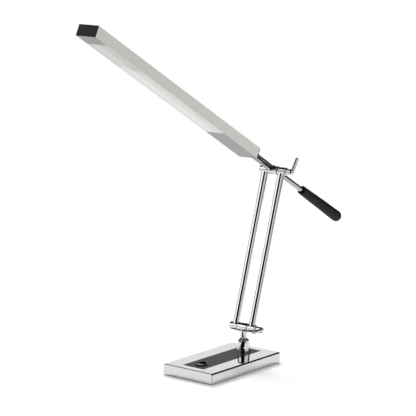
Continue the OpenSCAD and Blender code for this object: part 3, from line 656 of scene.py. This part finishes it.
SLEEVE_R, SLEEVE_START, SLEEVE_END, CLAMP_T = 7.5, 11.6, 28.0, 1.2
TUBE_R, TUBE_WALL, TUBE_X = 6.35, 0.8, 18.0
HEAD_R, HEAD_SEAT, BOLT_END, KEY_R, KEY_DEPTH = 5.0, 24.0, 35.5, 2.31, 2.5
KNOB_R, KNOB_END, HANDLE_R, HANDLE_L, CLAMP_R = 5.5, 44.5, 3.2, 27.8, 7.0


def coped_tube(x, steps=128):
    """A tube along Z whose ends fit the sleeves' round sides."""
    bm = bmesh.new()
    loops = []
    for radius, end in ((TUBE_R, 0), (TUBE_R, 1), (TUBE_R - TUBE_WALL, 1), (TUBE_R - TUBE_WALL, 0)):
        loop = []
        for k in range(steps):
            y = radius * math.sin(math.tau * k / steps)
            rise = math.sqrt(SLEEVE_R ** 2 - y ** 2) + 0.01
            across = x + radius * math.cos(math.tau * k / steps)
            loop.append(bm.verts.new((across, y, ARM_L - rise if end else rise)))
        loops.append(loop)
    for low, high in zip(loops, loops[1:] + loops[:1]):
        for k in range(steps):
            n = (k + 1) % steps
            bm.faces.new((low[k], low[n], high[n], high[k]))
    bmesh.ops.recalc_face_normals(bm, faces=bm.faces)
    return bm


for side, x in (("left", -TUBE_X), ("right", TUBE_X)):
    finished(settle(coped_tube(x), f"arm_tube_{side}", arm_place), f"arm_tube_{side}", "arm", steel_chrome,
             [f"tube_{side}"])


def key_socket_bolt():
    """Shank, head and the six-sided socket for a 4 mm key."""
    bm = turned([(-SLEEVE_END, 0), (-SLEEVE_END, HEAD_R - 0.05, 0.5), (-HEAD_SEAT, HEAD_R - 0.05),
                 (-HEAD_SEAT, BOLT_R), (BOLT_END, BOLT_R, 0.4), (BOLT_END, 0)], closed=False)
    bm.transform(ALONG_X)
    six = [(KEY_R * math.cos(math.tau * k / 6), KEY_R * math.sin(math.tau * k / 6)) for k in range(6)]
    return combined(bm, prism(six, -SLEEVE_END - 1.0, -SLEEVE_END + KEY_DEPTH, ALONG_X))


def lock_lever():
    """A round hub with a domed end and a rod handle that stands out of it, as one casting."""
    start = SLEEVE_END + CLAMP_T + 0.3
    thread_end = start + 6.3
    knob = turned([(thread_end, 0), (thread_end, BOLT_HOLE_R), (start, BOLT_HOLE_R), (start, KNOB_R, 0.5)]
                  + arc(KNOB_END - KNOB_R, KNOB_R, 90.0, 0.0), closed=False)
    knob.transform(ALONG_X)
    handle = turned(arc(0.0, HANDLE_R, 180.0, 90.0) + arc(HANDLE_L, HANDLE_R, 90.0, 0.0), closed=False)
    handle.transform(Matrix.Translation((KNOB_END - HANDLE_R, 0, 0)))
    return combined(knob, handle, "UNION")


def joint_set(level, place, lever_body, lever_turn):
    """Sleeves, bolt, clamp washer and lock lever of one joint."""
    left = turned([(-HEAD_SEAT, BOLT_R), (-HEAD_SEAT, HEAD_R), (-SLEEVE_END, HEAD_R, 0.3),
                   (-SLEEVE_END, SLEEVE_R, 0.7), (-SLEEVE_START, SLEEVE_R, 0.35), (-SLEEVE_START, BOLT_R)])
    right = turned([(SLEEVE_START, BOLT_R), (SLEEVE_START, SLEEVE_R, 0.35), (SLEEVE_END, SLEEVE_R, 0.7),
                    (SLEEVE_END, BOLT_R)])
    washer = turned([(SLEEVE_END, BOLT_R), (SLEEVE_END, CLAMP_R, 0.3), (SLEEVE_END + CLAMP_T, CLAMP_R, 0.3),
                     (SLEEVE_END + CLAMP_T, BOLT_R)])
    for bm in (left, right, washer):
        bm.transform(ALONG_X)
    for bm, name, node in ((left, "sleeve_left", "sleeve_left"), (right, "sleeve_right", "sleeve_right"),
                           (washer, "washer", "clamp_washer")):
        finished(settle(bm, f"{level}_{name}_turned", place), f"{level}_{name}_turned", "arm", steel_chrome,
                 [f"{level}_{node}"])
    finished(settle(key_socket_bolt(), f"{level}_bolt", place), f"{level}_bolt", "arm", zinc_plate,
             [f"{level}_pivot_bolt"])
    turn = place @ Matrix.Rotation(math.radians(lever_turn), 4, "X")
    finished(settle(lock_lever(), f"{level}_lever_cast", turn), f"{level}_lever_cast", lever_body,
             steel_chrome, [f"{level}_lock_lever"], smooth=40.0)


joint_set("lower", low_joint, "lower_lever", 86.0)
joint_set("upper", high_joint, "upper_lever", -37.0)

# ---------------------------------------------------------------------------
# Beam: the upper hub carries the head's rod to the front and the balance rod to
# the rear, both ground steel with a satin face.

HEAD_PITCH = 29.5
beam_place = high_joint @ Matrix.Rotation(math.radians(-HEAD_PITCH), 4, "X")
ROD_R, ROD_X, HEAD_REAR, CAP_T, BLOCK_L = 4.75, 4.3, -92.0, 1.5, 26.0
LEAD_X, LEAD_Z, LEAD_R = 3.71, 3.4, 2.0
GRIP_START, GRIP_L, GRIP_R1, GRIP_R2 = 105.0, 155.0, 8.6, 11.2


def satin_steel(name, axis):
    """Centreless-ground rod: fine lines round it, soft streaked reflections."""
    material, tree, shader, spot = finish(name)
    cloud = grain(tree, spot, 8.0, 2.0)
    two_tone(tree, shader, cloud, "#acadb2", "#a0a1a7")
    matched_roughness(tree, shader, cloud, 0.14, 0.20)
    shader.inputs["Metallic"].default_value = 1.0
    along = add(tree, "ShaderNodeVectorMath", {"operation": "DOT_PRODUCT"}, i0=spot, i1=axis).outputs["Value"]
    lines = add(tree, "ShaderNodeTexNoise", {"noise_dimensions": "1D"}, W=along, Scale=2.5, Detail=3.0)
    relief(tree, shader, lines, 0.008, 0.4)
    return material


beam_axis = (beam_place.to_3x3() @ Vector((0, 1, 0))).normalized()
ground_rod = satin_steel("ground_steel_rod", beam_axis)
rod_end, rod_seat, grip_hold = HEAD_REAR - CAP_T - BLOCK_L, 3.7, 32.0
top_hub = hub()
for cutter in (solid_bar(ROD_R, -20.0, -rod_seat, Matrix.Translation((-ROD_X, 0, 0)) @ ALONG_Y),
               solid_bar(ROD_R, rod_seat, 20.0, Matrix.Translation((ROD_X, 0, 0)) @ ALONG_Y)):
    top_hub = combined(top_hub, cutter)
finished(settle(top_hub, "upper_hub_turned", beam_place), "upper_hub_turned", "beam", steel_chrome,
         ["upper_hub"])
rub_washers(high_joint, "upper_rub_washers", "beam", "upper_friction_washers")
for name, x, low, high in (("head_rod", -ROD_X, rod_end, -rod_seat),
                           ("balance_rod", ROD_X, rod_seat, GRIP_START + grip_hold)):
    rod = turned([(low, 0), (low, ROD_R, 0.4), (high, ROD_R, 0.4), (high, 0)], closed=False)
    rod.transform(Matrix.Translation((x, 0, 0)) @ ALONG_Y)
    finished(settle(rod, f"{name}_ground", beam_place), f"{name}_ground", "beam", ground_rod,
             [name])

# ---------------------------------------------------------------------------
# Balance grip: soft black rubber moulded over a steel bar, open at its front end
# round the rod, with a rolled lip and a domed end.

dome, bar_r, hug_r = GRIP_START + GRIP_L - GRIP_R2, GRIP_R1 - 1.1, ROD_R + 0.02
bar_start, bar_end = GRIP_START + 12.0, dome - 4.0
mouth_end, mouth_r = GRIP_START + 6.0, (ROD_R + GRIP_R1) / 2 - 0.2
taper = [(GRIP_START + (dome - GRIP_START) * k / 12, GRIP_R1 + (GRIP_R2 - GRIP_R1) * k / 12)
         for k in range(1, 12)]
grip = turned([(bar_end, 0), (bar_end, bar_r), (bar_start, bar_r), (bar_start, hug_r), (mouth_end, hug_r),
               (mouth_end, mouth_r, 0.4), (GRIP_START, mouth_r, 0.7), (GRIP_START, GRIP_R1, 0.9)]
              + taper + arc(dome, GRIP_R2, 90.0, 0.0), closed=False)
grip.transform(Matrix.Translation((ROD_X, 0, 0)) @ ALONG_Y)
soft_rubber, tree, shader, spot = finish("soft_touch_rubber")
bloom = grain(tree, spot, 10.0, 3.0)
skin = grain(tree, spot, 0.5, 3.0)
two_tone(tree, shader, bloom, "#121212", "#191918")
matched_roughness(tree, shader, bloom, 0.55, 0.65)
shader.inputs["Specular IOR Level"].default_value = 0.15
relief(tree, shader, skin, 0.03, 0.6)
finished(settle(grip, "balance_grip", beam_place), "balance_grip", "beam", soft_rubber,
         ["counterweight_grip"])

# ---------------------------------------------------------------------------
# Head lead: a round black lead from a gland in the hub to a ribbed strain relief
# in the head's rear cap. All of it rides on the beam.

LEAD_BORE_R = LEAD_R + 0.1
STUB_R = LEAD_BORE_R + 0.7
gland = turned([(-11.0, LEAD_BORE_R), (-11.0, STUB_R, 0.3), (-10.0, 3.2, 0.3), (-9.4, 3.2), (-9.4, 3.55, 0.2),
                (-rod_seat, 3.55), (-rod_seat, LEAD_BORE_R)])
gland.transform(Matrix.Translation((LEAD_X, 0, LEAD_Z)) @ ALONG_Y)
gland = combined(gland, solid_bar(HUB_R, -20.0, 20.0))
finished(settle(gland, "lead_gland_nut", beam_place), "lead_gland_nut", "beam", grained_black,
         ["lead_gland"])


def node_tree(name, inputs):
    """A geometry tree with a geometry input and output, and named inputs."""
    tree = bpy.data.node_groups.new(name, "GeometryNodeTree")
    for title, kind in [("Geometry", "NodeSocketGeometry")] + inputs:
        tree.interface.new_socket(title, in_out="INPUT", socket_type=kind)
    tree.interface.new_socket("Geometry", in_out="OUTPUT", socket_type="NodeSocketGeometry")
    return tree, add(tree, "NodeGroupInput").outputs, add(tree, "NodeGroupOutput").inputs


def grown(data, tree, values):
    """Runs a geometry tree on a mesh or curve and returns the plain mesh."""
    holder = bpy.data.objects.new("holder", data)
    scene.collection.objects.link(holder)
    modifier = holder.modifiers.new("grow", "NODES")
    modifier.node_group = tree
    for item in tree.interface.items_tree:
        if item.in_out == "INPUT" and item.name in values:
            modifier[item.identifier] = values[item.name]
    view = bpy.context.evaluated_depsgraph_get()
    mesh = bpy.data.meshes.new_from_object(holder.evaluated_get(view))
    bpy.data.objects.remove(holder)
    return mesh


sweep, given, result = node_tree("sweep_along_route", [
    ("Radius", "NodeSocketFloat"), ("Sides", "NodeSocketInt"), ("Finish", "NodeSocketMaterial")])
circle = add(sweep, "GeometryNodeCurvePrimitiveCircle", Resolution=given["Sides"], Radius=given["Radius"])
tube = add(sweep, "GeometryNodeCurveToMesh", Curve=given["Geometry"], Profile_Curve=circle.outputs["Curve"])
tube.inputs["Fill Caps"].default_value = True
whole = add(sweep, "GeometryNodeRealizeInstances", Geometry=tube)
coated = add(sweep, "GeometryNodeSetMaterial", Geometry=whole, Material=given["Finish"])
sweep.links.new(coated.outputs[0], result["Geometry"])

# Matt black PVC: slight mottle, faint rings from the extruder
lead_skin, tree, shader, spot = finish("extruded_black_pvc")
mottle = grain(tree, spot, 4.0, 2.0)
two_tone(tree, shader, mottle, "#161617", "#1f1f20")
matched_roughness(tree, shader, mottle, 0.38, 0.5)
relief(tree, shader, grain(tree, spot, 0.7, 2.0), 0.02, 0.4)
ROUTE = [(3.7, -6, 3.4), (3.7, -12, 3.4), (3.7, -20, 3.4), (3.8, -31.3, 3.6), (3.9, -42.5, 3.7),
         (3.9, -53.8, 3.6), (3.8, -65, 3.4), (3.7, -73, 3.4), (3.7, -90, 3.4), (3.7, -104, 3.4)]
route = bpy.data.curves.new("lead_route", "CURVE")
route.dimensions = "3D"
route.resolution_u = 6
line = route.splines.new("BEZIER")
line.bezier_points.add(len(ROUTE) - 1)
for knot, point in zip(line.bezier_points, ROUTE):
    knot.co = point
    knot.handle_left_type = knot.handle_right_type = "AUTO"
lead_mesh = grown(route, sweep, {"Radius": LEAD_R, "Sides": 20, "Finish": lead_skin})
lead_mesh.transform(MM @ beam_place)
finished(lead_mesh, "head_lead_sheath", "beam", lead_skin, ["head_lead"])

rows, given, result = node_tree("repeat_in_rows", [
    ("Count X", "NodeSocketInt"), ("Count Y", "NodeSocketInt"), ("Length X", "NodeSocketFloat"),
    ("Length Y", "NodeSocketFloat"), ("Finish", "NodeSocketMaterial")])
grid = add(rows, "GeometryNodeMeshGrid", Vertices_X=given["Count X"], Vertices_Y=given["Count Y"],
           Size_X=given["Length X"], Size_Y=given["Length Y"])
copies = add(rows, "GeometryNodeInstanceOnPoints", Points=grid, Instance=given["Geometry"])
whole = add(rows, "GeometryNodeRealizeInstances", Geometry=copies)
coated = add(rows, "GeometryNodeSetMaterial", Geometry=whole, Material=given["Finish"])
rows.links.new(coated.outputs[0], result["Geometry"])


def in_rows(bm, name, material, counts, lengths, place):
    """Repeats a piece on a grid of points about the place's origin."""
    mesh = bpy.data.meshes.new("one")
    bm.to_mesh(mesh)
    bm.free()
    many = grown(mesh, rows, {"Count X": counts[0], "Count Y": counts[1], "Length X": lengths[0],
                              "Length Y": lengths[1], "Finish": material})
    many.name = name
    many.transform(MM @ place)
    return many


RELIEF_L, RIBS, RIB_PITCH, RIB_T, RIB_R = 23.0, 10, 2.2, 1.4, 3.4
sleeve = turned([(-CAP_T, LEAD_BORE_R), (-CAP_T, STUB_R), (0.0, STUB_R), (0.3, STUB_R + 0.1),
                 (RELIEF_L, STUB_R - 0.05, 0.3), (RELIEF_L, LEAD_BORE_R)])
sleeve.transform(Matrix.Translation((LEAD_X, HEAD_REAR, LEAD_Z)) @ ALONG_Y)
finished(settle(sleeve, "strain_relief_sleeve", beam_place), "strain_relief_sleeve", "beam", grained_black,
         ["strain_relief"])
rib = turned([(-RIB_T / 2, STUB_R - 0.4), (-RIB_T / 2, RIB_R, 0.2), (RIB_T / 2, RIB_R, 0.2),
              (RIB_T / 2, STUB_R - 0.4)], 48)
rib.transform(ALONG_Y)
ribs_l = RIB_PITCH * (RIBS - 1)
ribs = in_rows(rib, "strain_relief_ribs", grained_black, (1, RIBS), (0.0, ribs_l),
               beam_place @ Matrix.Translation((LEAD_X, HEAD_REAR + 0.9 + ribs_l / 2, LEAD_Z)))
finished(ribs, "strain_relief_ribs", "beam", grained_black)

# ---------------------------------------------------------------------------
# Lamp head: a square-cornered aluminium extrusion in light grey satin paint, its underside's end plates
# painted darker grey as shade, closed by two moulded black caps.

HEAD_L, HEAD_W, LENS_START, LENS_L = 550.0, 40.5, 35.0, 391.0
LENS_FRONT = HEAD_REAR - HEAD_L + LENS_START
LENS_REAR = LENS_FRONT + LENS_L


def satin_paint(name, first, second):
    """Powder coat: fine orange peel about 1 mm across under an even satin colour."""
    material, tree, shader, spot = finish(name)
    drift = grain(tree, spot, 30.0, 3.0)
    speck = grain(tree, spot, 0.5, 1.0)
    coat = two_tone(tree, shader, drift, first, second)
    matched_roughness(tree, shader, speck, 0.35, 0.45)
    relief(tree, shader, grain(tree, spot, 1.0, 2.0), 0.02, 0.35)
    return material, tree, shader, spot, drift, coat


light_paint = satin_paint("light_grey_satin_coat", "#dcddd7", "#d7d8d2")[0]
# Under the head the rails beside the lens are light too, and the plates at its ends a darker grey that
# darkens towards the rear: painted shade
under_paint_with_painted_shade, tree, shader, spot, drift, coat = satin_paint("underside_satin_coat_painted_shade", "#dcddd7", "#d7d8d2")
along = add(tree, "ShaderNodeVectorMath", DOT, i0=spot, i1=beam_axis).outputs["Value"]
along = add(tree, "ShaderNodeMath", {"operation": "SUBTRACT"}, i0=along,
            i1=high_joint.translation.dot(beam_axis))
front_plate = add(tree, "ShaderNodeMapRange", SMOOTH, Value=along, From_Min=LENS_FRONT + 0.2,
                  From_Max=LENS_FRONT - 0.2)
rear_plate = add(tree, "ShaderNodeMapRange", SMOOTH, Value=along, From_Min=LENS_REAR - 0.2,
                 From_Max=LENS_REAR + 0.2)
shaded_end_plates = add(tree, "ShaderNodeMath", LARGER, i0=front_plate, i1=rear_plate)
shade_towards_rear = add(tree, "ShaderNodeMapRange", SMOOTH, Value=along, From_Min=LENS_FRONT, From_Max=LENS_REAR,
               To_Max=0.85)
drift_and_painted_shade = add(tree, "ShaderNodeMath", {"operation": "MULTIPLY_ADD"}, i0=drift, i1=0.15, i2=shade_towards_rear)
# the two darker greys are painted shade, darker towards the rear
painted_shade_greys = add(tree, "ShaderNodeMix", COLOURS, Factor=drift_and_painted_shade, i6=linear("#b6b6b8"), i7=linear("#858589"))
both = add(tree, "ShaderNodeMix", COLOURS, Factor=shaded_end_plates, i6=coat.outputs[2], i7=painted_shade_greys.outputs[2])
tree.links.new(both.outputs[2], shader.inputs["Base Color"])
head_shell = worked("head_housing", "head_extrusion", "beam", light_paint, 0.45)
head_shell.data.materials.append(under_paint_with_painted_shade)
down = (beam_place.to_3x3() @ Vector((0, 0, -1))).normalized()
for face in head_shell.data.polygons:
    if face.normal.dot(down) > 0.9:
        face.material_index = 1
cap = worked("front_cap", "front_cap_moulded", "beam", gloss_black, 0.25)
panel_black = moulded("panel_black_plastic", "#222225", "#2a2a2e", 0.4, 0.5, 0.02, 0.6, 0.2)
cap.data.materials.append(panel_black)
forward = (beam_place.to_3x3() @ Vector((0, -1, 0))).normalized()
rim_front = max(face.center.dot(forward) for face in cap.data.polygons)
for face in cap.data.polygons:
    if face.normal.dot(forward) > 0.9 and face.center.dot(forward) < rim_front - 0.0003:
        face.material_index = 1
worked("rear_cap", "rear_cap_moulded", "beam", grained_black, 0.25)

# Frosted acrylic: milky with a soft satin face, and a painted highlight along its middle
frosted, tree, shader, spot = finish("frosted_acrylic")
across = (beam_place.to_3x3() @ Vector((1, 0, 0))).normalized()
side_on = add(tree, "ShaderNodeVectorMath", DOT, i0=spot, i1=across).outputs["Value"]
side_on = add(tree, "ShaderNodeMath", PLUS, i0=side_on, i1=1.0)
off_middle = add(tree, "ShaderNodeMath", {"operation": "ABSOLUTE"}, i0=side_on)
painted_middle_highlight = add(tree, "ShaderNodeMapRange", SMOOTH, Value=off_middle, From_Min=15.0, From_Max=3.0)
two_tone(tree, shader, painted_middle_highlight, "#dadbd5", "#e8e8e6")
matched_roughness(tree, shader, grain(tree, spot, 3.0, 2.0), 0.45, 0.52)
shader.inputs["Specular IOR Level"].default_value = 0.3
relief(tree, shader, grain(tree, spot, 2.0, 2.0), 0.005, 0.3)
worked("lens", "lens_extrusion", "beam", frosted, 0.5)

# Pan-head screws with a cross recess hold the rear cap
screw = turned([(-10.0, 0), (-9.6, 1.1), (0.0, 1.25), (0.0, 2.5), (0.45, 2.45, 0.2), (1.0, 1.6), (1.15, 0)],
               48, False)
screw.transform(Matrix.Rotation(0.4, 4, "Z"))
for turn in (0.0, math.pi / 2):
    slot_cut = prism([(-1.4, -0.22), (1.4, -0.22), (1.4, 0.22), (-1.4, 0.22)], 0.35, 3.0,
                     Matrix.Rotation(turn + 0.3, 4, "Z"))
    screw = combined(screw, slot_cut)
screw.transform(ALONG_Y)
cap_screws = in_rows(screw, "rear_cap_screws", zinc_plate, (2, 1), (2 * (HEAD_W / 2 - 5.25), 0.0),
                     beam_place @ Matrix.Translation((0, HEAD_REAR, 0)))
finished(cap_screws, "rear_cap_screws", "beam", zinc_plate, ["cap_screws"])

# Inside the head: mill-finish aluminium block and LED carrier, white strip board and
# a row of surface-mount LEDs.
mill, tree, shader, spot = finish("mill_finish_aluminium")
streak = grain(tree, spot, 0.6, 2.0, stretch=(1.0, 0.05, 1.0))
two_tone(tree, shader, streak, "#c4c5c7", "#b3b4b7")
matched_roughness(tree, shader, streak, 0.3, 0.45)
shader.inputs["Metallic"].default_value = 1.0
relief(tree, shader, streak, 0.01, 0.4)
for node in ("rod_block", "led_carrier"):
    shown(node, mill)
strip, tree, shader, spot = finish("white_solder_mask")
pads = grain(tree, spot, 3.0, 1.0)
tinned = add(tree, "ShaderNodeMapRange", SMOOTH, Value=pads, From_Min=0.5, From_Max=0.55)
two_tone(tree, shader, tinned, "#e6e7e4", "#dadbd8")
matched_roughness(tree, shader, pads, 0.25, 0.35)
relief(tree, shader, pads, 0.03, 0.4)
shown("led_board", strip)

phosphor, tree, shader, spot = finish("led_phosphor_gel")
gel = grain(tree, spot, 0.8, 2.0)
two_tone(tree, shader, gel, "#e8c65a", "#f0d577")
matched_roughness(tree, shader, gel, 0.3, 0.4)
CHIPS, CHIP_PITCH, CHIP_W, CHIP_T, CHIP_Z = 37, 10.0, 3.5, 0.7, -2.05
chip = bmesh.new()
bmesh.ops.create_cube(chip, size=1.0)
bmesh.ops.scale(chip, vec=(CHIP_W, CHIP_W, CHIP_T), verts=chip.verts)
bmesh.ops.bevel(chip, geom=list(chip.edges), offset=0.12, segments=1, affect="EDGES")
row_l = CHIP_PITCH * (CHIPS - 1)
chips = in_rows(chip, "led_row", phosphor, (1, CHIPS), (0.0, row_l),
                beam_place @ Matrix.Translation((0, LENS_FRONT + 10.0 + (CHIP_W + row_l) / 2, CHIP_Z)))
finished(chips, "led_row", "beam", phosphor, ["led_chips"])
